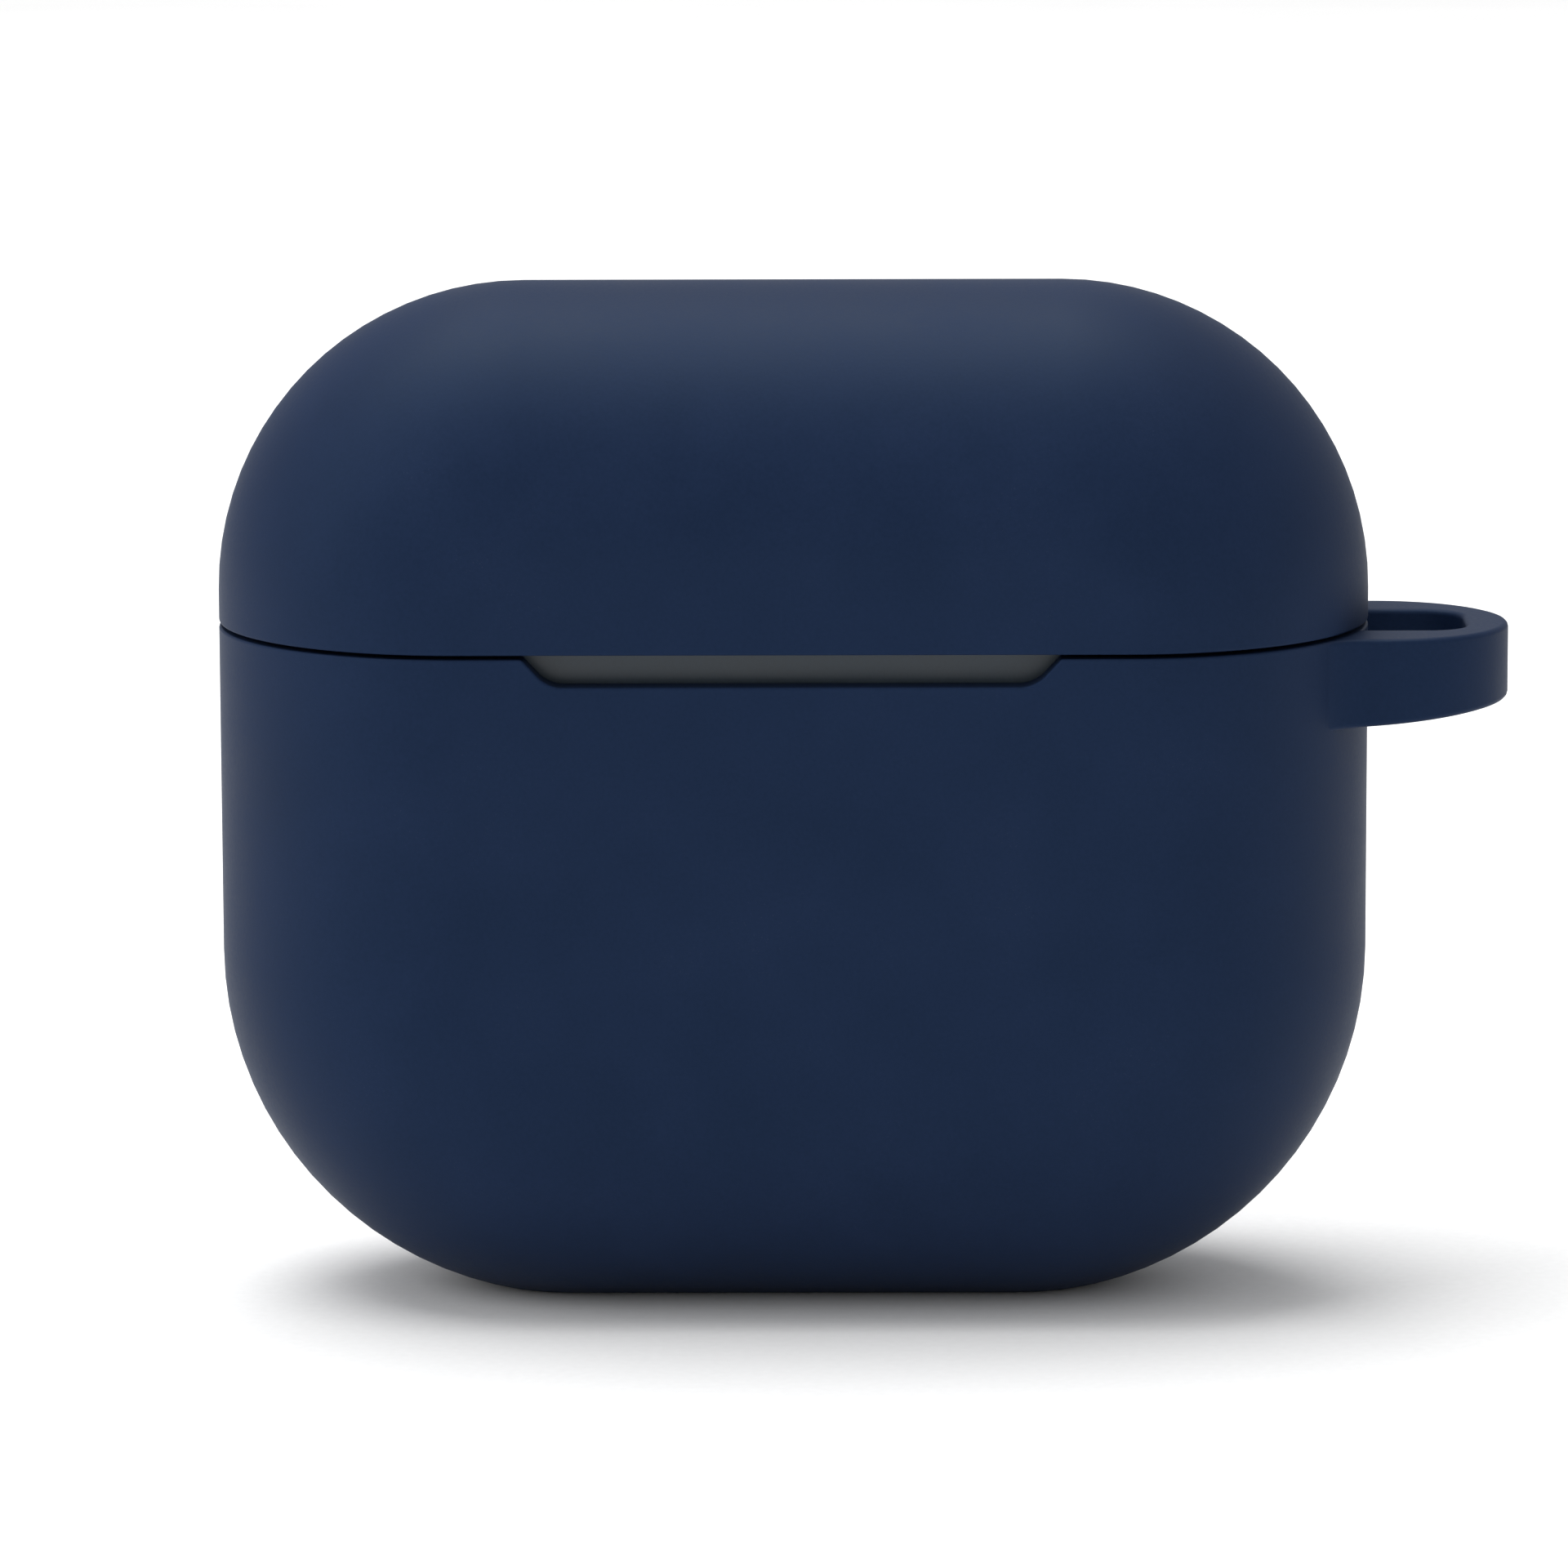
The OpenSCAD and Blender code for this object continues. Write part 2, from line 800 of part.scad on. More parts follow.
module port_shell() {
    color(steel)
        difference() {
            translate([0, 0, port_low])
                linear_extrude(board_z - port_low)
                    slot_2d(port);
            translate([0, 0, port_low - 1])
                linear_extrude(port_depth + 1)
                    slot_2d(port, -port_wall);
        }
}

module port_tongue() {
    color([0.12, 0.12, 0.13])
        block([-tongue[0] / 2, -tongue[1] / 2, port_low + tongue_sink],
            [tongue[0] / 2, tongue[1] / 2, port_low + port_depth]);
}

module port_ring() {
    color(steel)
        translate([0, 0, port_low - ring_proud])
            linear_extrude(ring_t)
                difference() {
                    slot_2d(port, port_trim);
                    slot_2d(port);
                }
}

module battery() {
    color("silver")
        translate([0, 0, cell_z])
            linear_extrude(cell_h)
                round_rect(cell, cell_corner_r);
}

module battery_foam() {
    color([0.15, 0.15, 0.16])
        block([-foam[0] / 2, -foam[1] / 2, board_top], [foam[0] / 2, foam[1] / 2, cell_z]);
}

// Flat cable that rises from the board: foot on the board, then up a wall
module flex(x0, x1, foot_y, wall_y, top) {
    low = min(foot_y, wall_y);
    high = max(foot_y, wall_y);
    side = wall_y > foot_y ? 0 : 1;
    block([x0, low, board_top], [x1, high, board_top + flex_t]);
    block([x0, wall_y - (1 - side) * flex_t, board_top], [x1, wall_y + side * flex_t, top]);
}

module battery_flex() {
    color(amber)
        flex(-battery_flex[0] / 2, battery_flex[0] / 2, flex_foot - cell[1] / 2,
            -cell[1] / 2 - flex_t, board_top + battery_flex[1]);
}

// ---------------------------------------------------------------- wireless charging

module coil_plate(size, t, back) {
    translate([0, back, coil_z])
        rotate([90, 0, 0])
            linear_extrude(t)
                difference() {
                    slot_2d(size);
                    slot_2d(coil_eye);
                }
}

module charging_coil() {
    color(copper)
        coil_plate(coil, coil_t, base_inner);
}

module ferrite_sheet() {
    color([0.2, 0.2, 0.21])
        coil_plate(coil, ferrite_t, base_inner - coil_t);
}

module coil_flex() {
    color(amber)
        flex(coil_flex_x[0], coil_flex_x[1], board[1] / 2 - 1.5 * flex_foot,
            base_inner - coil_t / 2, coil_z - coil[1] / 2);
}

// ---------------------------------------------------------------- status light

module light_pipe() {
    color([0.9, 0.92, 0.93])
        rod_y(led_r, -case_back + led_skin, led_back - led[1], 0, led_z);
}

module led_module() {
    color([0.95, 0.9, 0.7])
        block([-led[0] / 2, led_back - led[1], led_z - led[2] / 2],
            [led[0] / 2, led_back, led_z + led[2] / 2]);
}

module led_flex() {
    color(amber)
        flex(-led_flex_w / 2, led_flex_w / 2, 0.8 * flex_foot - board[1] / 2,
            led_back, led_z + led[2] / 2);
}

module hall_sensor() {
    color([0.1, 0.1, 0.11])
        block([-hall[0] / 2, led_back + flex_t, hall_z],
            [hall[0] / 2, led_back + flex_t + hall[1], hall_z + hall[2]]);
}

// ---------------------------------------------------------------- setup button

module button_cap() {
    color(slate) {
        rod_y(button_r, base_inner - eps, case_back, 0, button_z);
        rod_y(button_flange_r, base_inner - button_flange_t, base_inner, 0, button_z);
        rod_y(stub_r, stub_end, base_inner - button_flange_t + eps, 0, button_z);
    }
}

module button_switch() {
    color(steel) {
        block([-switch[0] / 2, bracket_back, button_z - switch[1] / 2],
            [switch[0] / 2, switch_y, button_z + switch[1] / 2]);
        rod_y(nub[0], switch_y - eps, switch_y + nub[1], 0, button_z);
    }
}

module button_bracket() {
    color(steel)
        difference() {
            translate([0, bracket_back, button_z])
                rotate([90, 0, 0])
                    linear_extrude(bracket[1])
                        round_rect([bracket[0], bracket[2]], bracket_corner_r);
            for (side = [-1, 1])
                rod_y(bracket_screw_r + fit_gap, 0, half_d, side * bracket_boss_x, button_z);
        }
}

module bracket_screws() {
    color("silver")
        for (side = [-1, 1])
            translate([side * bracket_boss_x, bracket_y, button_z])
                rotate([90, 0, 0])
                    screw(bracket_head[0], bracket_head[1], bracket_screw_r, bracket_screw_l);
}

module button_flex() {
    color(amber) {
        block([button_flex_x[0], bracket_back, board_top],
            [button_flex_x[1], bracket_back + flex_t, button_z - 0.5]);
        block([button_flex_x[0], bracket_back - flex_foot, board_top],
            [button_flex_x[1], bracket_back, board_top + flex_t]);
    }
}

// ---------------------------------------------------------------- spring contacts

module contact_barrels() {
    color(gold)
        for (at = contacts)
            translate([at[0], at[1], 0])
                difference() {
                    translate([0, 0, barrel_low])
                        cylinder(r = contact_r, h = stem_floor - barrel_low);
                    translate([0, 0, spring_low])
                        cylinder(r = plunger_r + plunger_gap, h = stem_floor - lip_t - spring_low);
                    translate([0, 0, spring_low])
                        cylinder(r = plunger_tip_r + plunger_gap, h = stem_floor);
                }
}

module plunger(at) {
    color(gold)
        translate([at[0], at[1], 0]) {
            translate([0, 0, plunger_low])
                cylinder(r = plunger_r, h = stem_floor - lip_t - plunger_low);
            translate([0, 0, stem_floor - lip_t - eps])
                cylinder(r = plunger_tip_r, h = plunger_out + lip_t + eps - plunger_tip_r);
            translate([0, 0, plunger_top - plunger_tip_r])
                sphere(plunger_tip_r);
        }
}

// Compression spring: a square wire swept along a helix
module spring(at) {
    turns = 4;
    steps = 14;
    ring_r = plunger_r - spring_wire_r - spring_gap;
    rise = plunger_low - spring_low - 2 * spring_wire_r;
    count = turns * steps;
    points = [
        for (i = [0:count], c = [0:3])
            let (
                a = 360 * i / steps,
                r = ring_r + spring_wire_r * cos(90 * c),
                z = spring_low + spring_wire_r + rise * i / count + spring_wire_r * sin(90 * c)
            )
            [at[0] + r * cos(a), at[1] + r * sin(a), z]
    ];
    sides = [
        for (i = [0:count - 1], c = [0:3])
            [4 * i + c, 4 * i + (c + 1) % 4, 4 * i + 4 + (c + 1) % 4, 4 * i + 4 + c]
    ];
    color(steel)
        polyhedron(points, concat([[3, 2, 1, 0]], sides, [[for (c = [0:3]) 4 * count + c]]));
}

sleeve_lower();
sleeve_lid();
lid_grip_pad();
base_shell();
lid_shell();
lid_liner();
bud_tray();
hinge_leaf_base();
hinge_leaf_lid();
hinge_pin();
hinge_screws_base();
hinge_screws_lid();
latch_magnet_base();
latch_magnet_lid();
bud_magnets();
main_board();
board_chips();
shield_can();
board_screws();
port_shell();
port_tongue();
port_ring();
battery();
battery_foam();
battery_flex();
charging_coil();
ferrite_sheet();
coil_flex();
light_pipe();
led_module();
led_flex();
hall_sensor();
button_cap();
button_switch();
button_bracket();
bracket_screws();
button_flex();
contact_barrels();
plunger(contacts[0]);  // plunger_left_front
plunger(contacts[1]);  // plunger_left_rear
plunger(contacts[2]);  // plunger_right_front
plunger(contacts[3]);  // plunger_right_rear
spring(contacts[0]);  // spring_left_front
spring(contacts[1]);  // spring_left_rear
spring(contacts[2]);  // spring_right_front
spring(contacts[3]);  // spring_right_rear
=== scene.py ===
import json
import math
import bmesh
import bpy
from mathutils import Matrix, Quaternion, Vector


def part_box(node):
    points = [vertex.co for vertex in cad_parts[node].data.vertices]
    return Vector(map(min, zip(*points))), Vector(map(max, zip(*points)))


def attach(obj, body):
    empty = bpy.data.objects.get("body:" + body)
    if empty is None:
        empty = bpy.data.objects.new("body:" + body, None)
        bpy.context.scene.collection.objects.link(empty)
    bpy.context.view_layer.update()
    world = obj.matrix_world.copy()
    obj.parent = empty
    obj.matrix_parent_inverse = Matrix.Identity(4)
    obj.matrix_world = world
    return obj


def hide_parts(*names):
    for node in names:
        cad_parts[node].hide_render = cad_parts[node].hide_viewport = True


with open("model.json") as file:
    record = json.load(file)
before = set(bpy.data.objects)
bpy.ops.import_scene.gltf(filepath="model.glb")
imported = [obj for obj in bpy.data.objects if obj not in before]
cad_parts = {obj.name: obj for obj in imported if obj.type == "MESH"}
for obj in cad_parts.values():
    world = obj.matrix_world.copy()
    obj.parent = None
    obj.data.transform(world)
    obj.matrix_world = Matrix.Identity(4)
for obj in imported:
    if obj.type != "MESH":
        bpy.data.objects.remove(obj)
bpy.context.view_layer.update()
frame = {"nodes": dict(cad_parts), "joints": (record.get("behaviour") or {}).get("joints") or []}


# ------------------------------------------------------------------ lower case shell
# An injection moulded shell of slate plastic with a satin skin. It has ledges under the ends of the
# tray, bosses for the board and for the button's bracket, and a window for the hinge at its back.

MM = 1000
CASE_EDGE = 0.12
CASE_DARK, CASE_LIGHT = (0.018, 0.031, 0.045), (0.024, 0.04, 0.057)
DUST_GREY = (0.35, 0.36, 0.37)
MIX_FIRST, MIX_SECOND, MIX_COLOUR = 6, 7, 2


def only(piece):
    """Makes one piece the only one that the operators act on."""
    bpy.ops.object.select_all(action="DESELECT")
    piece.select_set(True)
    bpy.context.view_layer.objects.active = piece


def shape(piece):
    """Opens one piece in edit mode."""
    only(piece)
    bpy.ops.object.mode_set(mode="EDIT")


def done():
    """Closes edit mode and gives the piece back."""
    bpy.ops.object.mode_set(mode="OBJECT")
    return bpy.context.object


def wire(tree, kind, inputs=None, **settings):
    """Adds a shader node, sets its choices, and sets or links its inputs."""
    made = tree.nodes.new("ShaderNode" + kind)
    for name, value in settings.items():
        setattr(made, name, value)
    for name, value in (inputs or {}).items():
        if isinstance(value, bpy.types.NodeSocket):
            tree.links.new(value, made.inputs[name])
        else:
            made.inputs[name].default_value = value
    return made


def group(name, inputs, outputs):
    """A node group with named sockets, and its two end nodes."""
    tree = bpy.data.node_groups.new(name, "ShaderNodeTree")
    for direction, sockets in (("INPUT", inputs), ("OUTPUT", outputs)):
        for socket, kind in sockets.items():
            tree.interface.new_socket(socket, in_out=direction, socket_type="NodeSocket" + kind)
    return tree, tree.nodes.new("NodeGroupInput").outputs, tree.nodes.new("NodeGroupOutput").inputs


def in_mm(tree):
    """Object coordinates in millimetres, so that every size below is one too."""
    place = wire(tree, "TexCoord").outputs["Object"]
    return wire(tree, "VectorMath", {0: place, "Scale": float(MM)}, operation="SCALE").outputs["Vector"]


def noise(tree, place, size, detail):
    """Noise whose lumps are about size millimetres across."""
    scale = wire(tree, "Math", {0: 1.0, 1: size}, operation="DIVIDE").outputs["Value"]
    return wire(tree, "TexNoise", {"Vector": place, "Scale": scale, "Detail": detail}).outputs["Fac"]


def ramp(tree, value, low, high, to_low=0.0, to_high=1.0):
    """Spreads the values between low and high over a new range, and clamps the rest."""
    return wire(tree, "MapRange", {"Value": value, "From Min": low, "From Max": high, "To Min": to_low,
                                   "To Max": to_high}).outputs["Result"]


def mixed(tree, factor, first, second):
    """One colour fading into the other. The colours have numbered sockets, as their names repeat."""
    blend = wire(tree, "Mix", {"Factor": factor}, data_type="RGBA")
    for socket, colour in ((blend.inputs[MIX_FIRST], first), (blend.inputs[MIX_SECOND], second)):
        if isinstance(colour, bpy.types.NodeSocket):
            tree.links.new(colour, socket)
        else:
            socket.default_value = (*colour, 1)
    return blend.outputs[MIX_COLOUR]


def times(tree, first, second):
    """The product of two values."""
    return wire(tree, "Math", {0: first, 1: second}, operation="MULTIPLY").outputs["Value"]


def raised(tree, height, depth):
    """A normal for a height between 0 and 1 that stands depth millimetres high."""
    return wire(tree, "Bump", {"Height": height, "Distance": times(tree, depth, 1 / MM),
                               "Strength": 1.0}).outputs["Normal"]


LOOK_OUT = {"Color": "Color", "Roughness": "Float", "Normal": "Vector"}


def give(tree, out, *made):
    """Links the three results of a group to its outputs."""
    for socket, value in zip(LOOK_OUT, made):
        tree.links.new(value, out[socket])
    return tree


def moulded_skin():
    """Clouds of tone, fine grain and specks of dust, as on any moulded rubber or plastic."""
    tree, given, out = group(
        "moulded_skin",
        {"Dark": "Color", "Light": "Color", "Cloud Size": "Float", "Grain Size": "Float",
         "Grain Depth": "Float", "Rough Low": "Float", "Rough High": "Float", "Dust": "Float"}, LOOK_OUT)
    place = in_mm(tree)
    cloud = noise(tree, place, given["Cloud Size"], 4.0)
    grain = noise(tree, place, given["Grain Size"], 3.0)
    tone = wire(tree, "Math", {0: cloud, 1: grain}, operation="ADD").outputs["Value"]
    spread = ramp(tree, tone, 0.7, 1.3)
    fleck_scale = wire(tree, "Math", {0: 1.0, 1: given["Grain Size"]}, operation="DIVIDE").outputs["Value"]
    cells = wire(tree, "TexVoronoi", {"Vector": place, "Scale": fleck_scale}).outputs["Distance"]
    specks = times(tree, ramp(tree, cells, 0.16, 0.06), ramp(tree, cloud, 0.5, 0.75))
    colour = mixed(tree, times(tree, specks, given["Dust"]),
                   mixed(tree, spread, given["Dark"], given["Light"]), DUST_GREY)
    rough = ramp(tree, spread, 0.0, 1.0, given["Rough Low"], given["Rough High"])
    return give(tree, out, colour, rough, raised(tree, grain, given["Grain Depth"]))


SKIN = moulded_skin()


def material(name, look, values, **shader):
    """A Principled surface whose colour, roughness and normal come from a shared group."""
    made = bpy.data.materials.new(name)
    made.use_nodes = True
    tree = made.node_tree
    surface = tree.nodes["Principled BSDF"]
    for socket, value in shader.items():
        surface.inputs[socket.replace("_", " ")].default_value = value
    used = wire(tree, "Group", node_tree=look)
    for socket, value in values.items():
        used.inputs[socket].default_value = (*value, 1) if used.inputs[socket].type == "RGBA" else value
    for source, target in (("Color", "Base Color"), ("Roughness", "Roughness"), ("Normal", "Normal")):
        tree.links.new(used.outputs[source], surface.inputs[target])
    return made


def moulded(name, dark, light, cloud, grain, depth, rough, dust=0.0, **shader):
    """A moulded surface; cloud, grain and depth are in millimetres."""
    return material(name, SKIN, {"Dark": dark, "Light": light, "Cloud Size": cloud, "Grain Size": grain,
                                 "Grain Depth": depth, "Rough Low": rough[0], "Rough High": rough[1],
                                 "Dust": dust}, **shader)


def dress(made, *nodes):
    """Gives CAD nodes a material and leaves their meshes alone."""
    for node in nodes:
        for slot in frame["nodes"][node].material_slots:
            slot.material = made


def copied(node, name):
    """A copy of a CAD mesh in millimetres, merged and with its flat faces whole again."""
    piece = bpy.data.objects.new(name, frame["nodes"][node].data.copy())
    bpy.context.scene.collection.objects.link(piece)
    only(piece)
    piece.scale = (MM, MM, MM)
    bpy.ops.object.transform_apply(location=True, rotation=True, scale=True)
    bpy.ops.mesh.customdata_custom_splitnormals_clear()
    shape(piece)
    bpy.ops.mesh.select_all(action="SELECT")
    bpy.ops.mesh.remove_doubles(threshold=0.01)
    bpy.ops.mesh.dissolve_limited(angle_limit=math.radians(0.4))
    return done()


def smooth(piece):
    """Smooth shading that keeps the flat faces flat."""
    only(piece)
    bpy.ops.object.shade_smooth_by_angle(angle=math.radians(40))
    even = piece.modifiers.new("even", "WEIGHTED_NORMAL")
    even.keep_sharp = True
    bpy.ops.object.modifier_apply(modifier=even.name)
    return piece


def soften(piece, width, segments=3, angle=32, clamp=False):
    """Rounds every edge of the piece that is sharper than the angle."""
    only(piece)
    edges = piece.modifiers.new("soften", "BEVEL")
    edges.width, edges.segments = width, segments
    edges.limit_method, edges.angle_limit = "ANGLE", math.radians(angle)
    edges.use_clamp_overlap = clamp
    bpy.ops.object.modifier_apply(modifier=edges.name)
    return piece


def settle(piece, made):
    """Brings a finished piece from millimetres to the frame and gives it its material."""
    only(piece)
    piece.scale = (1 / MM, 1 / MM, 1 / MM)
    bpy.ops.object.transform_apply(location=True, rotation=True, scale=True)
    piece.data.materials.clear()
    piece.data.materials.append(made)
    return piece


def softened(node, name, width, made, body):
    """A CAD node shown as a copy with its edges rounded."""
    piece = settle(smooth(soften(copied(node, name), width, segments=2, angle=40, clamp=True)), made)
    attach(piece, body)
    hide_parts(node)


satin = moulded("satin_plastic", CASE_DARK, CASE_LIGHT, cloud=5, grain=0.25, depth=0.0015,
                rough=(0.3, 0.38), dust=0.02)
softened("base_shell", "lower_case", CASE_EDGE, satin, "base")

# ------------------------------------------------------------------ charging coil
# A flat coil of enamelled copper wire, wound in a stadium shape, lies against the inside of the back. A
# sheet of sintered ferrite shields the rest from it, and a strip of polyimide film leads to the board.

COIL_PITCH = 0.36
coil_low, coil_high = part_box("charging_coil")
coil_z = (coil_low.z + coil_high.z) / 2 * MM
coil_straight = (coil_high.x - (coil_high.z - coil_low.z) / 2) * MM


def wound_wire():
    """Turns of round wire that follow the stadium outline of the coil, with painted shade in the grooves
    between turns.
    """
    tree, given, out = group(
        "wound_wire", {"Dark": "Color", "Light": "Color", "Turn": "Float", "Straight": "Float",
                       "Middle": "Float", "Rough Low": "Float", "Rough High": "Float"}, LOOK_OUT)
    place = in_mm(tree)
    split = wire(tree, "SeparateXYZ", {"Vector": place}).outputs
    side = wire(tree, "Math", {0: split["X"]}, operation="ABSOLUTE").outputs["Value"]
    past = wire(tree, "Math", {0: side, 1: given["Straight"]}, operation="SUBTRACT").outputs["Value"]
    along = wire(tree, "Math", {0: past, 1: 0.0}, operation="MAXIMUM").outputs["Value"]
    up = wire(tree, "Math", {0: split["Z"], 1: given["Middle"]}, operation="SUBTRACT").outputs["Value"]
    around = wire(tree, "CombineXYZ", {"X": along, "Y": up})
    radius = wire(tree, "VectorMath", {0: around.outputs["Vector"]}, operation="LENGTH").outputs["Value"]
    turns = wire(tree, "Math", {0: radius, 1: given["Turn"]}, operation="DIVIDE").outputs["Value"]
    part = wire(tree, "Math", {0: turns}, operation="FRACT").outputs["Value"]
    crest_relief_and_shade = wire(tree, "Math", {0: times(tree, part, math.pi)}, operation="SINE").outputs["Value"]
    cloud = noise(tree, place, 2.5, 3.0)
    # The colour is darkest in the grooves between turns, which is painted shade, with random tone over it.
    # The same profile also drives the real bump.
    colour = mixed(tree, times(tree, crest_relief_and_shade, ramp(tree, cloud, 0.3, 0.7, 0.6, 1.0)), given["Dark"],
                   given["Light"])
    rough = ramp(tree, cloud, 0.3, 0.7, given["Rough Low"], given["Rough High"])
    return give(tree, out, colour, rough, raised(tree, crest_relief_and_shade, times(tree, given["Turn"], 0.4)))


# The dark colour is painted shade for the grooves between turns; the light one is the copper itself.
copper = material("enamelled_copper", wound_wire(),
                  {"Dark": (0.16, 0.045, 0.018), "Light": (0.72, 0.3, 0.13), "Turn": COIL_PITCH,
                   "Straight": coil_straight, "Middle": coil_z, "Rough Low": 0.22, "Rough High": 0.34},
                  Metallic=1.0)
ferrite = moulded("sintered_ferrite", (0.035, 0.035, 0.04), (0.06, 0.06, 0.066), cloud=3, grain=0.12,
                  depth=0.006, rough=(0.6, 0.75))
dress(copper, "charging_coil")
dress(ferrite, "ferrite_sheet")


def film_print():
    """Copper tracks under a thin clear film, running along one axis."""
    tree, given, out = group("film_print", {"Film": "Color", "Track": "Color", "Pitch": "Float",
                                            "Rough Low": "Float", "Rough High": "Float"}, LOOK_OUT)
    place = in_mm(tree)
    scale = wire(tree, "Math", {0: 0.5, 1: given["Pitch"]}, operation="DIVIDE").outputs["Value"]
    bands = wire(tree, "TexWave", {"Vector": place, "Scale": scale, "Distortion": 0.4, "Detail": 1.0},
                 bands_direction="X").outputs["Fac"]
    track = ramp(tree, bands, 0.5, 0.62)
    cloud = noise(tree, place, 1.6, 3.0)
    colour = mixed(tree, times(tree, track, 0.75), given["Film"], given["Track"])
    rough = ramp(tree, cloud, 0.3, 0.7, given["Rough Low"], given["Rough High"])
    return give(tree, out, colour, rough, raised(tree, track, 0.012))


film = material("polyimide_film", film_print(),
                {"Film": (0.42, 0.17, 0.03), "Track": (0.5, 0.3, 0.12), "Pitch": 0.35, "Rough Low": 0.18,
                 "Rough High": 0.3}, Coat_Weight=0.3)
dress(film, "coil_flex")

# ------------------------------------------------------------------ circuit board
# A green board held by two screws, with chips on both faces and a pressed tin can under it. The
# sensor that notices the lid's magnet is a chip too, on the film cable of the light.


def printed_board():
    """Tracks under green solder mask, with tinned holes."""
    tree, given, out = group("printed_board", {"Mask": "Color", "Track": "Color", "Tin": "Color",
                                               "Pitch": "Float"}, LOOK_OUT)
    place = in_mm(tree)
    scale = wire(tree, "Math", {0: 1.0, 1: given["Pitch"]}, operation="DIVIDE").outputs["Value"]
    runs = wire(tree, "TexBrick", {"Vector": place, "Scale": scale, "Mortar Size": 0.05,
                                   "Brick Width": 1.7, "Row Height": 0.8}, offset=0.5).outputs["Fac"]
    dots = wire(tree, "TexVoronoi", {"Vector": place, "Scale": scale, "Randomness": 0.55},
                voronoi_dimensions="2D").outputs["Distance"]
    hole = ramp(tree, dots, 0.14, 0.11)
    colour = mixed(tree, hole, mixed(tree, runs, given["Mask"], given["Track"]), given["Tin"])
    cloud = noise(tree, place, 2.0, 3.0)
    return give(tree, out, colour, ramp(tree, cloud, 0.3, 0.7, 0.28, 0.4), raised(tree, runs, 0.03))


def worked_metal():
    """Streaks along one direction, or an even frost, and patches that are a little duller."""
    tree, given, out = group("worked_metal", {"Dark": "Color", "Light": "Color", "Stretch": "Vector",
                                              "Grain Size": "Float", "Grain Depth": "Float",
                                              "Rough Low": "Float", "Rough High": "Float"}, LOOK_OUT)
    place = in_mm(tree)
    drawn = wire(tree, "VectorMath", {0: place, 1: given["Stretch"]}, operation="MULTIPLY")
    streak = noise(tree, drawn.outputs["Vector"], given["Grain Size"], 4.0)
    patch = noise(tree, place, 1.8, 3.0)
    worn = times(tree, ramp(tree, patch, 0.35, 0.7), ramp(tree, streak, 0.2, 0.8, 0.4, 1.0))
    colour = mixed(tree, ramp(tree, streak, 0.3, 0.7), given["Dark"], given["Light"])
    rough = ramp(tree, worn, 0.0, 1.0, given["Rough Low"], given["Rough High"])
    return give(tree, out, colour, rough, raised(tree, streak, given["Grain Depth"]))


METAL = worked_metal()


def metal(name, dark, light, stretch, grain, depth, rough):
    """A metal whose grain is drawn out along the axis with the smallest stretch, if they differ."""
    return material(name, METAL, {"Dark": dark, "Light": light, "Stretch": stretch, "Grain Size": grain,
                                  "Grain Depth": depth, "Rough Low": rough[0], "Rough High": rough[1]},
                    Metallic=1.0)


mask = material("solder_mask", printed_board(), {"Mask": (0.006, 0.05, 0.022), "Track": (0.015, 0.1, 0.045),
                                                 "Tin": (0.55, 0.54, 0.5), "Pitch": 1.3})
epoxy = moulded("moulded_epoxy", (0.014, 0.014, 0.016), (0.026, 0.026, 0.028), cloud=1.5, grain=0.08,
                depth=0.003, rough=(0.5, 0.62))
pressed = metal("pressed_tin", (0.5, 0.5, 0.48), (0.66, 0.65, 0.62), stretch=(1, 1, 6), grain=0.5,
                depth=0.002, rough=(0.25, 0.38))
brushed = metal("brushed_steel", (0.4, 0.41, 0.42), (0.5, 0.51, 0.53), stretch=(0.06, 1, 1), grain=0.08,
                depth=0.0012, rough=(0.34, 0.46))
turned = metal("turned_steel", (0.34, 0.35, 0.36), (0.58, 0.59, 0.6), stretch=(1, 8, 1), grain=0.3,
               depth=0.002, rough=(0.2, 0.32))
dress(mask, "main_board")
dress(epoxy, "board_chips", "hall_sensor")
dress(pressed, "shield_can")
dress(turned, "board_screws")

# ------------------------------------------------------------------ charge port
# A drawn steel shell with a black tongue of glass-filled plastic inside, soldered under the board,
# and a thin steel ring that trims the opening in the bottom of the case.

PORT_EDGE = 0.06
tongue_black = moulded("tongue_plastic", (0.012, 0.012, 0.013), (0.022, 0.022, 0.024), cloud=1,
                       grain=0.06, depth=0.002, rough=(0.38, 0.5))
dress(tongue_black, "port_tongue")
softened("port_shell", "port_sleeve", PORT_EDGE, brushed, "base")
softened("port_ring", "port_trim", PORT_EDGE, brushed, "base")

# ------------------------------------------------------------------ battery
# A lithium cell in a crimped aluminium pouch, bedded on a pad of closed-cell foam over the board,
# with its leads on a short film cable.

pouch = metal("foil_pouch", (0.5, 0.5, 0.51), (0.64, 0.64, 0.65), stretch=(1, 1, 1), grain=0.9,
              depth=0.05, rough=(0.28, 0.42))
foam = moulded("closed_cell_foam", (0.018, 0.018, 0.02), (0.05, 0.05, 0.053), cloud=2, grain=0.35,
               depth=0.08, rough=(0.8, 0.95))
dress(pouch, "battery")
dress(foam, "battery_foam")
dress(film, "battery_flex")

# ------------------------------------------------------------------ setup button and light
# A round cap that is flush with the back presses a sealed switch on a steel bracket. A clear pipe
# carries the light of a small diode to the front. Both are wired with film cables.

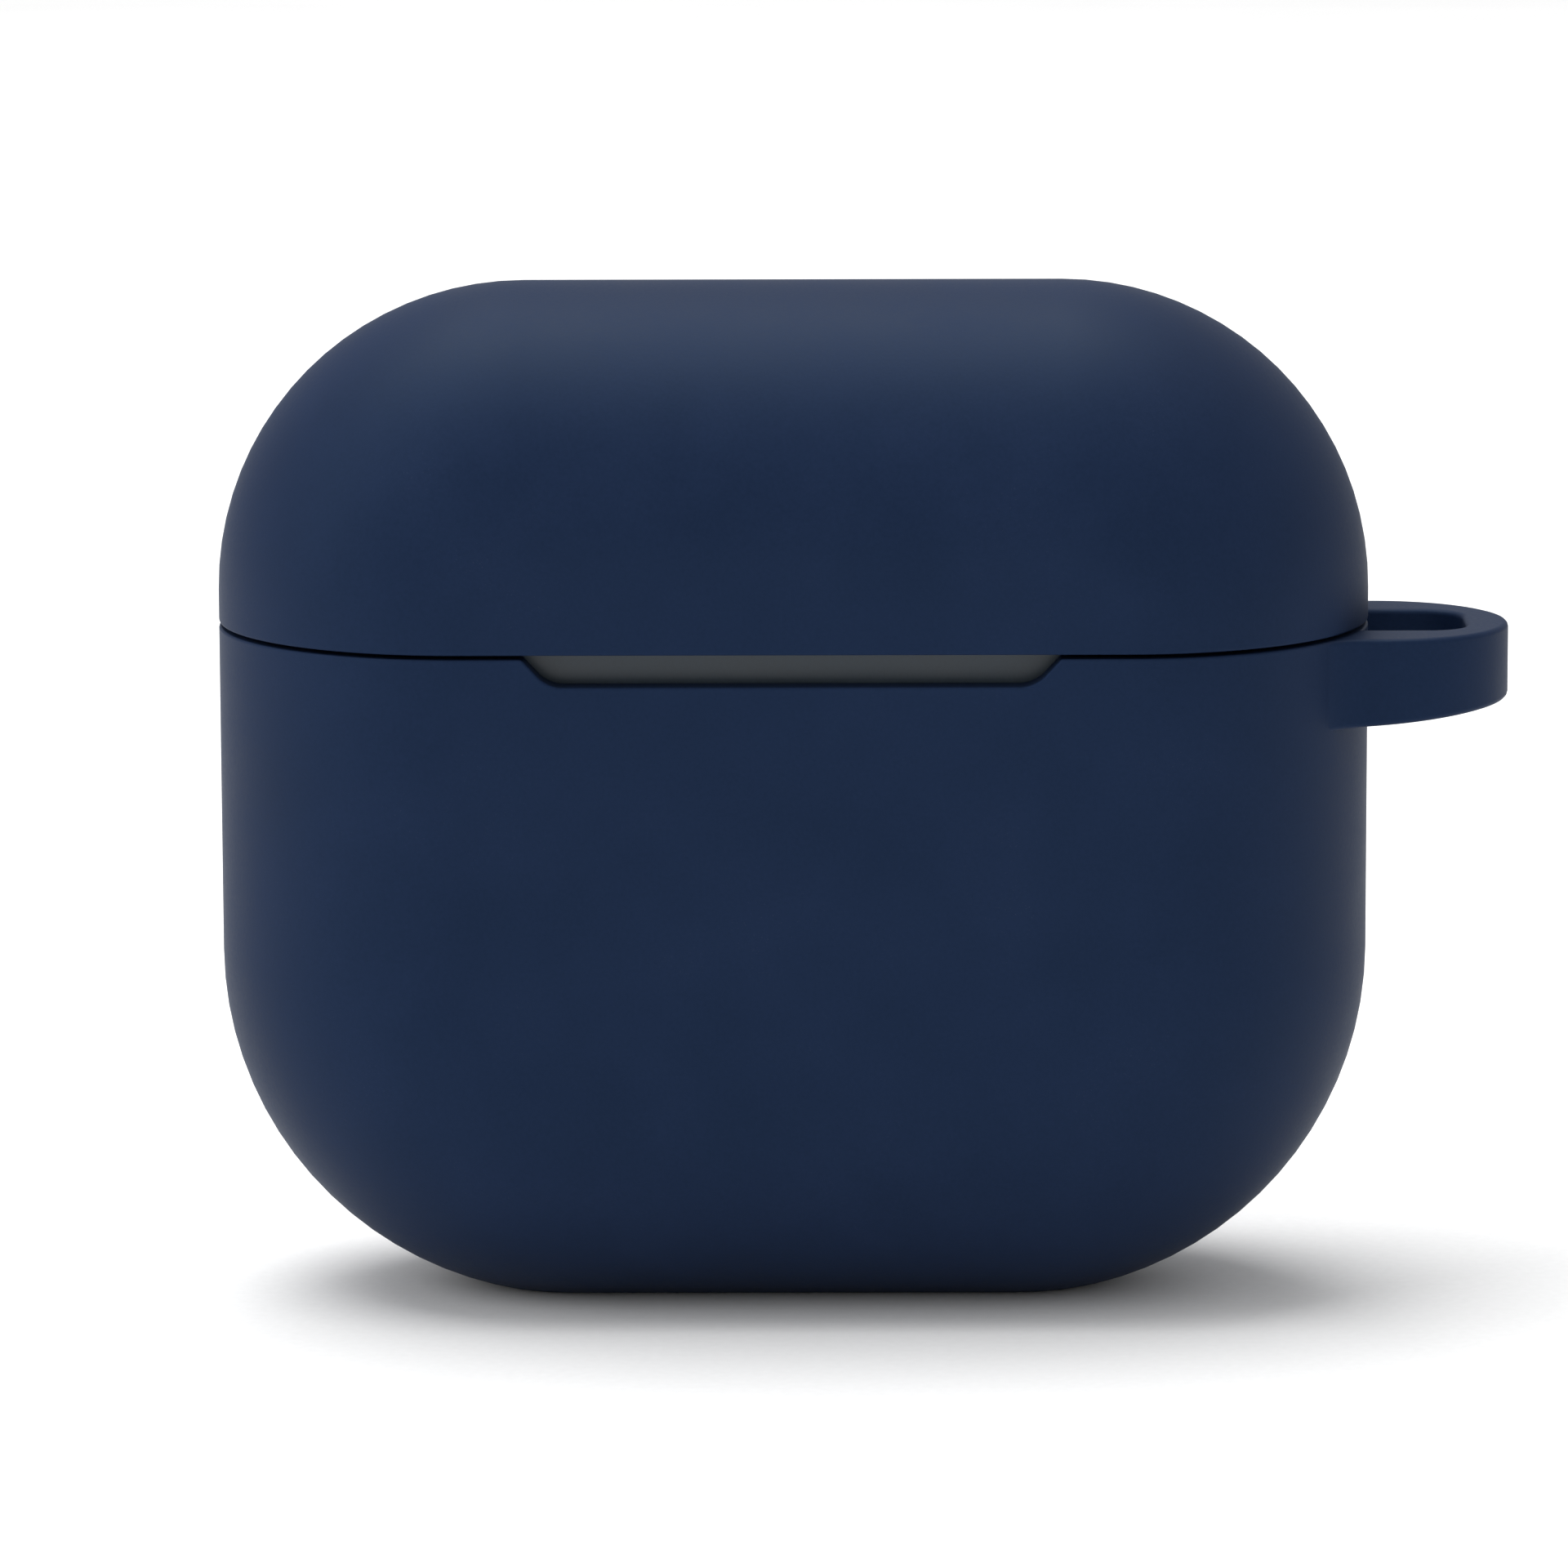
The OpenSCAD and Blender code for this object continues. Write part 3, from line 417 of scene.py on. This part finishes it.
BUTTON_EDGE = 0.18
cap = moulded("button_plastic", CASE_DARK, CASE_LIGHT, cloud=4, grain=0.16, depth=0.003,
              rough=(0.42, 0.5), dust=0.03)
softened("button_cap", "button_face", BUTTON_EDGE, cap, "setup_button")
clear = moulded("clear_plastic", (0.82, 0.85, 0.87), (0.9, 0.92, 0.93), cloud=3, grain=0.3, depth=0.0005,
                rough=(0.06, 0.12), Transmission_Weight=0.85, IOR=1.49)
phosphor = moulded("diode_phosphor", (0.62, 0.52, 0.16), (0.86, 0.78, 0.4), cloud=0.6, grain=0.05,
                   depth=0.004, rough=(0.35, 0.5))
dress(brushed, "button_bracket")
dress(turned, "bracket_screws")
dress(epoxy, "button_switch")
dress(clear, "light_pipe")
dress(phosphor, "led_module")
dress(film, "button_flex", "led_flex")

# ------------------------------------------------------------------ bud tray
# The moulded tray that closes the base, with two round pockets and a well for each stem. Its skin is
# duller than the case. Magnets under it hold the earbuds, and one at its front holds the lid shut.

TRAY_EDGE = 0.16
matt = moulded("textured_plastic", (0.02, 0.027, 0.034), (0.03, 0.039, 0.047), cloud=4, grain=0.14,
               depth=0.005, rough=(0.5, 0.6), dust=0.05)
nickel = metal("nickel_plate", (0.52, 0.51, 0.49), (0.68, 0.67, 0.64), stretch=(1, 1, 1), grain=0.2,
               depth=0.001, rough=(0.12, 0.24))
softened("bud_tray", "tray", TRAY_EDGE, matt, "base")
dress(nickel, "bud_magnets", "latch_magnet_base")

# ------------------------------------------------------------------ charge contacts
# Four sprung pins at the bottom of the wells: a gold-plated plunger in a gold-plated barrel, with
# a wound steel spring under it.

CONTACTS = ("left_front", "left_rear", "right_front", "right_rear")
gold = metal("gold_plate", (0.66, 0.42, 0.13), (0.86, 0.62, 0.26), stretch=(1, 1, 0.15), grain=0.12,
             depth=0.0008, rough=(0.14, 0.26))
dress(gold, "contact_barrels", *("plunger_" + place for place in CONTACTS))
dress(turned, *("spring_" + place for place in CONTACTS))

# ------------------------------------------------------------------ hinge
# Two pressed steel leaves with rolled knuckles on a ground pin. One leaf is screwed to the base
# and the other to the lid.

LEAF_EDGE = 0.06
softened("hinge_leaf_base", "leaf_base", LEAF_EDGE, brushed, "base")
softened("hinge_leaf_lid", "leaf_lid", LEAF_EDGE, brushed, "lid")
dress(turned, "hinge_pin", "hinge_screws_base", "hinge_screws_lid")

# ------------------------------------------------------------------ upper case shell and liner
# The lid is a second satin shell. A matt liner is bonded inside it, with a dome over each earbud and a
# closing magnet, and a strip of adhesive film on its front grips the sleeve.

film_white = moulded("adhesive_film", (0.55, 0.55, 0.53), (0.72, 0.72, 0.7), cloud=2, grain=0.2,
                     depth=0.004, rough=(0.55, 0.7))
softened("lid_shell", "upper_case", CASE_EDGE, satin, "lid")
dress(matt, "lid_liner")
dress(nickel, "latch_magnet_lid")
dress(film_white, "lid_grip_pad")

# ------------------------------------------------------------------ silicone sleeve, lower half
# A moulded silicone skin pulled over the hard case. It is one piece with the carry loop at its side.
# It has a thumb notch in front, a slot for the hinge, and holes for the button and the port.

CORNER_TOP_R, CORNER_BOTTOM_R = 15.4, 17.8
FOOT_CUT = 0.6
SLEEVE_WALL = 1.6
RIM_ROUND, LOOP_ROUND = 0.13, 0.28
LOOP_TIP_R, LOOP_FILLET_R, LOOP_SINK = 6.5, 3.0, 0.06
LOOP_ROOT_H, LOOP_TIP_H = 4.4, 3.8
LOOP_DROP, ROW_BELOW = 0.004, 0.6
EYE_HALF_W, EYE_CORNER_R, EYE_SINK, LOOP_BAND = 3.25, 1.9, 3, 2.2
NOTCH_W, NOTCH_DEPTH, NOTCH_SLOPE, NOTCH_ROUND = 26.3, 1.4, 1.2, 0.7
SLOT_STEPS, SLOT_FADE, SLOT_CLEAR = 10, 6.3, 0.15
BUTTON_Z, BUTTON_HOLE_R = 19.4, 4.5
PORT_HOLE, PORT_HOLE_TOP = (13, 6.4), 4

# A cutter reaches PAST what it cuts, and coordinates less than NEAR apart count as equal. LOOP_DROP
# keeps two faces out of one plane, and HAIR keeps a sliver of flat between two round corners.
PAST = 1.0
NEAR = 0.01
HAIR = 0.001


def span(node):
    """Lowest and highest corner of a CAD node, in millimetres."""
    low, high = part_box(node)
    return low * MM, high * MM


base_low, base_high = span("sleeve_lower")
lid_low, lid_high = span("sleeve_lid")
pin_low, pin_high = span("hinge_pin")
sleeve_half_w, sleeve_half_d, sleeve_top = -base_low.x, base_high.y, lid_high.z
rim_low, rim_high = base_high.z, lid_low.z
hinge_axis = ((pin_low.y + pin_high.y) / 2, (pin_low.z + pin_high.z) / 2)
lid_limit = [joint for joint in frame["joints"] if joint["name"] == "lid_hinge"][0]["range_deg"][1]


def pick(kind, wanted):
    """Selects the edges or faces of the open piece that pass the test, and nothing else."""
    bpy.ops.mesh.select_mode(type={"edges": "EDGE", "faces": "FACE"}[kind])
    bpy.ops.mesh.select_all(action="DESELECT")
    mesh = bmesh.from_edit_mesh(bpy.context.object.data)
    for part in getattr(mesh, kind):
        if wanted(part):
            part.select_set(True)
    mesh.select_flush_mode()
    bmesh.update_edit_mesh(bpy.context.object.data)


def level(part, axis, height):
    """True if every corner of the edge or face lies at that height on the axis."""
    return all(abs(corner.co[axis] - height) < NEAR for corner in part.verts)


def block(name, low, high):
    """A cube shaped to its two corners, with its place in its mesh."""
    bpy.ops.object.select_all(action="DESELECT")
    middle = [(a + b) / 2 for a, b in zip(low, high)]
    bpy.ops.mesh.primitive_cube_add(size=1, location=middle)
    piece = bpy.context.object
    piece.name = name
    piece.scale = [b - a for a, b in zip(low, high)]
    bpy.ops.object.transform_apply(location=True, rotation=True, scale=True)
    return piece


def pebble(name, depth, low_cut, high_cut):
    """The outline that all the shells share, set in from the outside by depth and cut level at two
    heights: a cube with its corners rounded in front view, then its whole rim rounded."""
    half_w, half_d, top = sleeve_half_w - depth, sleeve_half_d - depth, sleeve_top - depth
    bottom = depth - FOOT_CUT
    piece = block(name, (-half_w, -half_d, bottom), (half_w, half_d, top))
    shape(piece)
    for height, radius in ((top, CORNER_TOP_R), (bottom, CORNER_BOTTOM_R)):
        pick("edges", lambda edge: level(edge, 2, height) and not level(edge, 1, half_d)
             and not level(edge, 1, -half_d))
        bpy.ops.mesh.bevel(offset=radius - depth, segments=20, affect="EDGES")
    pick("edges", lambda edge: level(edge, 1, half_d) or level(edge, 1, -half_d))
    bpy.ops.mesh.bevel(offset=half_d, segments=28, affect="EDGES")
    bpy.ops.mesh.select_all(action="SELECT")
    bpy.ops.mesh.remove_doubles(threshold=0.002)
    for height, upper in ((low_cut, False), (high_cut, True)):
        bpy.ops.mesh.select_all(action="SELECT")
        bpy.ops.mesh.bisect(plane_co=(0, 0, height), plane_no=(0, 0, 1), use_fill=True,
                            clear_outer=upper, clear_inner=not upper)
    return done()


def carve(piece, *cutters, operation="DIFFERENCE"):
    """Cuts the cutters out of the piece, or joins them to it, and takes them away."""
    for cutter in cutters:
        only(piece)
        cut = piece.modifiers.new("carve", "BOOLEAN")
        cut.operation, cut.solver, cut.object = operation, "EXACT", cutter
        bpy.ops.object.modifier_apply(modifier=cut.name)
        bpy.data.objects.remove(cutter)
    return piece


def round_bar(name, radius, low, high, axis, place, sides):
    """A round bar along X or Y, from low to high, that a slot or a hole is cut with."""
    turn = {"x": (0, math.pi / 2, 0), "y": (math.pi / 2, 0, 0)}[axis]
    middle = Vector(place)
    middle["xyz".index(axis)] = (low + high) / 2
    bpy.ops.object.select_all(action="DESELECT")
    bpy.ops.mesh.primitive_cylinder_add(vertices=sides, radius=radius, depth=high - low,
                                        location=middle, rotation=turn)
    piece = bpy.context.object
    piece.name = name
    bpy.ops.object.transform_apply(location=True, rotation=True, scale=True)
    return piece


def upright_corners(piece, radius):
    """Rounds the four upright edges of a block."""
    shape(piece)
    pick("edges", lambda edge: abs(edge.verts[0].co.z - edge.verts[1].co.z) > NEAR)
    bpy.ops.mesh.bevel(offset=radius, segments=16, affect="EDGES")
    return done()


def cut_level(piece, height, upper, slope=0.0):
    """Takes away what is over or under a plane, which may rise along X, and closes the cut."""
    shape(piece)
    bpy.ops.mesh.select_all(action="SELECT")
    bpy.ops.mesh.bisect(plane_co=(sleeve_half_w, 0, height), plane_no=(-slope, 0, 1), use_fill=True,
                        clear_outer=upper, clear_inner=not upper)
    return done()


def carry_loop():
    """The loop as a plate. One corner is spun along a fillet, the arc of the tip and the other fillet.
    Then the outline is filled and drawn up, the eye is cut out, and the underside is sloped."""
    tip, end_x = base_high.x, sleeve_half_w - sleeve_half_d
    centre = Vector((tip - LOOP_TIP_R, 0, 0))
    reach = sleeve_half_d + LOOP_FILLET_R - LOOP_SINK
    gap = centre.x - end_x
    along = (reach ** 2 - (LOOP_TIP_R + LOOP_FILLET_R) ** 2 + gap ** 2) / (2 * gap)
    fillet = Vector((end_x + along, math.sqrt(reach ** 2 - along ** 2), 0))
    low = rim_low - 2 * LOOP_ROOT_H
    to_tip = math.atan2(centre.y - fillet.y, centre.x - fillet.x)
    to_body = math.atan2(-fillet.y, end_x - fillet.x)
    start = fillet + LOOP_FILLET_R * Vector((math.cos(to_body), math.sin(to_body), 0))
    tip_turn = 2 * math.atan2(fillet.y, fillet.x - centre.x)
    fillet_turn = to_body - to_tip
    bpy.ops.object.select_all(action="DESELECT")
    bpy.ops.mesh.primitive_circle_add(vertices=8, radius=1)
    bpy.context.object.name = "carry_loop"
    bpy.ops.object.mode_set(mode="EDIT")
    bpy.ops.mesh.select_mode(type="VERT")
    bpy.ops.mesh.select_all(action="SELECT")
    bpy.ops.mesh.merge(type="CENTER")
    bpy.ops.transform.translate(value=(start.x, start.y, low))
    for steps, turn, middle in ((20, fillet_turn, fillet), (72, tip_turn, centre),
                                (20, fillet_turn, Vector((fillet.x, -fillet.y)))):
        bpy.ops.mesh.spin(steps=steps, angle=turn, center=(middle.x, middle.y, low), axis=(0, 0, 1))
    bpy.ops.mesh.select_all(action="SELECT")
    bpy.ops.mesh.edge_face_add()
    bpy.ops.mesh.extrude_region_move(
        TRANSFORM_OT_translate={"value": (0, 0, 2 * LOOP_ROOT_H + PAST)})
    bpy.ops.mesh.select_all(action="SELECT")
    bpy.ops.mesh.normals_make_consistent(inside=False)
    plate = done()
    eye = block("eye", (sleeve_half_w - EYE_SINK, -EYE_HALF_W, low - PAST),
                (tip - LOOP_BAND, EYE_HALF_W, rim_low + 2 * PAST))
    carve(plate, upright_corners(eye, EYE_CORNER_R))
    slope = (LOOP_ROOT_H - LOOP_TIP_H) / (tip - sleeve_half_w)
    return cut_level(plate, rim_low - LOOP_ROOT_H, upper=False, slope=slope)


def hinge_slot(radius_at):
    """A bar on the hinge axis that fades out along the rounded ends of the back."""
    axis_y, axis_z = hinge_axis
    straight = sleeve_half_w - sleeve_half_d
    bar = round_bar("slot", radius_at(0), -straight, straight, "x", (0, axis_y, axis_z), sides=64)
    shape(bar)
    for side in (-1, 1):
        x, radius = side * straight, radius_at(0)
        for step in range(1, SLOT_STEPS + 1):
            past = SLOT_FADE * step / SLOT_STEPS
            pick("faces", lambda face: level(face, 0, x))
            bpy.ops.mesh.extrude_region_move(
                TRANSFORM_OT_translate={"value": (side * (straight + past) - x, 0, 0)})
            x, grown = side * (straight + past), radius_at(past) / radius
            bpy.ops.transform.resize(value=(1, grown, grown), center_override=(x, axis_y, axis_z))
            radius = radius_at(past)
    return done()


def proud(past):
    """How far the round end of the sleeve stands behind the hinge axis."""
    return math.sqrt(sleeve_half_d ** 2 - past ** 2) - hinge_axis[0]


def thumb_notch():
    """A cutter with sloped sides and soft corners at its floor."""
    half, floor_z = NOTCH_W / 2, rim_low - NOTCH_DEPTH
    outer_y, inner_y = -sleeve_half_d - PAST, SLEEVE_WALL - sleeve_half_d
    cutter = block("notch", (-half - PAST, outer_y, floor_z), (half + PAST, inner_y, rim_low + PAST))
    shape(cutter)
    pick("faces", lambda face: level(face, 2, floor_z))
    bpy.ops.transform.resize(value=((half - NOTCH_SLOPE) / (half + PAST), 1, 1), center_override=(0, 0, 0))
    pick("edges", lambda edge: level(edge, 2, floor_z) and not level(edge, 1, outer_y)
         and not level(edge, 1, inner_y))
    bpy.ops.mesh.bevel(offset=NOTCH_ROUND, segments=6, affect="EDGES")
    return done()


def row(piece, height):
    """Cuts an extra row of edges into the piece, so that a join above it leaves the faces below alone."""
    shape(piece)
    bpy.ops.mesh.select_all(action="SELECT")
    bpy.ops.mesh.bisect(plane_co=(0, 0, height), plane_no=(0, 0, 1))
    return done()


half_long, half_short = PORT_HOLE[0] / 2, PORT_HOLE[1] / 2
sleeve_base = carve(
    row(pebble("sleeve_base", depth=0, low_cut=0, high_cut=rim_low), rim_low - LOOP_ROOT_H - ROW_BELOW),
    pebble("hollow", SLEEVE_WALL, -PAST, rim_low + PAST), thumb_notch(),
    round_bar("button_hole", BUTTON_HOLE_R, hinge_axis[0] - 2 * PAST, sleeve_half_d + 2 * PAST, "y",
              (0, 0, BUTTON_Z), sides=128),
    upright_corners(block("port_hole", (-half_long, -half_short, -2 * PAST),
                          (half_long, half_short, PORT_HOLE_TOP)), half_short - HAIR))
soften(sleeve_base, RIM_ROUND)
carve(sleeve_base,
      hinge_slot(lambda past: proud(past) / math.cos(math.radians(lid_limit / 2)) + SLOT_CLEAR))
loop = cut_level(carry_loop(), rim_low - LOOP_DROP, upper=True)
carve(loop, pebble("wall_middle", SLEEVE_WALL / 2, -PAST, rim_low + PAST))
soften(loop, LOOP_ROUND)
carve(sleeve_base, loop, operation="UNION")
smooth(sleeve_base)

silicone = moulded("silicone", (0.0078, 0.0164, 0.044), (0.0102, 0.0202, 0.053), cloud=5, grain=0.2,
                   depth=0.005, rough=(0.5, 0.58), dust=0.05, Specular_IOR_Level=0.11,
                   Specular_Tint=(0.45, 0.72, 1.0, 1.0))
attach(settle(sleeve_base, silicone), "base")
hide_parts("sleeve_lower")

# ------------------------------------------------------------------ silicone sleeve, lid
# The cap of the sleeve, moulded like the lower half. It is a separate piece with no notch, stuck to
# the lid by the grip strip, with a shallow slot for the hinge at its back.

sleeve_cap = carve(pebble("sleeve_top", depth=0, low_cut=rim_high, high_cut=sleeve_top + PAST),
                   pebble("hollow", SLEEVE_WALL, rim_high - PAST, sleeve_top + PAST))
soften(sleeve_cap, RIM_ROUND)
smooth(carve(sleeve_cap, hinge_slot(lambda past: proud(past) + SLOT_CLEAR)))
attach(settle(sleeve_cap, silicone), "lid")
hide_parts("sleeve_lid")

# ------------------------------------------------------------------ studio
# A pale paper floor under soft light from above and from the left, and the camera.

FLOOR_SIZE, FLOOR_GAP = 12, 0.0001
AIM = Vector((0, 0, 0.02575))
DISTANCE, AZIMUTH, ELEVATION, ROLL = 0.45, 0.5, 9.93, -0.19
FOCAL_LENGTH, SHIFT, NEAREST = 204.6, (-0.0063, -0.00375), 0.01
SKY = 0.6

bpy.ops.object.select_all(action="DESELECT")
bpy.ops.mesh.primitive_plane_add(size=FLOOR_SIZE, location=(0, 0, -FLOOR_GAP))
floor = bpy.context.object
floor.name = "floor"
floor.data.materials.append(moulded("paper", (0.88, 0.88, 0.88), (0.92, 0.92, 0.92), cloud=40, grain=0.5,
                                    depth=0.0, rough=(0.85, 0.95), Specular_IOR_Level=0.1))

azimuth, elevation = math.radians(AZIMUTH), math.radians(ELEVATION)
back = Vector((math.sin(azimuth) * math.cos(elevation), -math.cos(azimuth) * math.cos(elevation),
               math.sin(elevation)))
bpy.ops.object.camera_add(location=AIM + DISTANCE * back)
camera = bpy.context.object
camera.rotation_mode = "QUATERNION"
camera.rotation_quaternion = (back.to_track_quat("Z", "Y")
                              @ Quaternion((0, 0, 1), math.radians(ROLL)))
camera.data.lens = FOCAL_LENGTH
camera.data.shift_x, camera.data.shift_y = SHIFT
camera.data.clip_start = NEAREST
bpy.context.scene.camera = camera


def softbox(name, place, size, power):
    """A soft rectangular light that faces the case."""
    bpy.ops.object.light_add(type="AREA", location=place)
    light = bpy.context.object
    light.name = name
    light.data.shape = "RECTANGLE"
    light.data.size, light.data.size_y = size
    light.data.energy = power
    light.rotation_mode = "QUATERNION"
    light.rotation_quaternion = (Vector(place) - AIM).to_track_quat("Z", "Y")


softbox("overhead", place=(-0.15, 0.15, 0.9), size=(0.9, 0.7), power=9)
softbox("left", place=(-0.9, -0.3, 0.5), size=(0.6, 0.8), power=3)
world = bpy.data.worlds.new("studio")
bpy.context.scene.world = world
world.use_nodes = True
world.node_tree.nodes["Background"].inputs["Color"].default_value = (1, 1, 1, 1)
world.node_tree.nodes["Background"].inputs["Strength"].default_value = SKY
bpy.context.scene.view_settings.view_transform = "Standard"
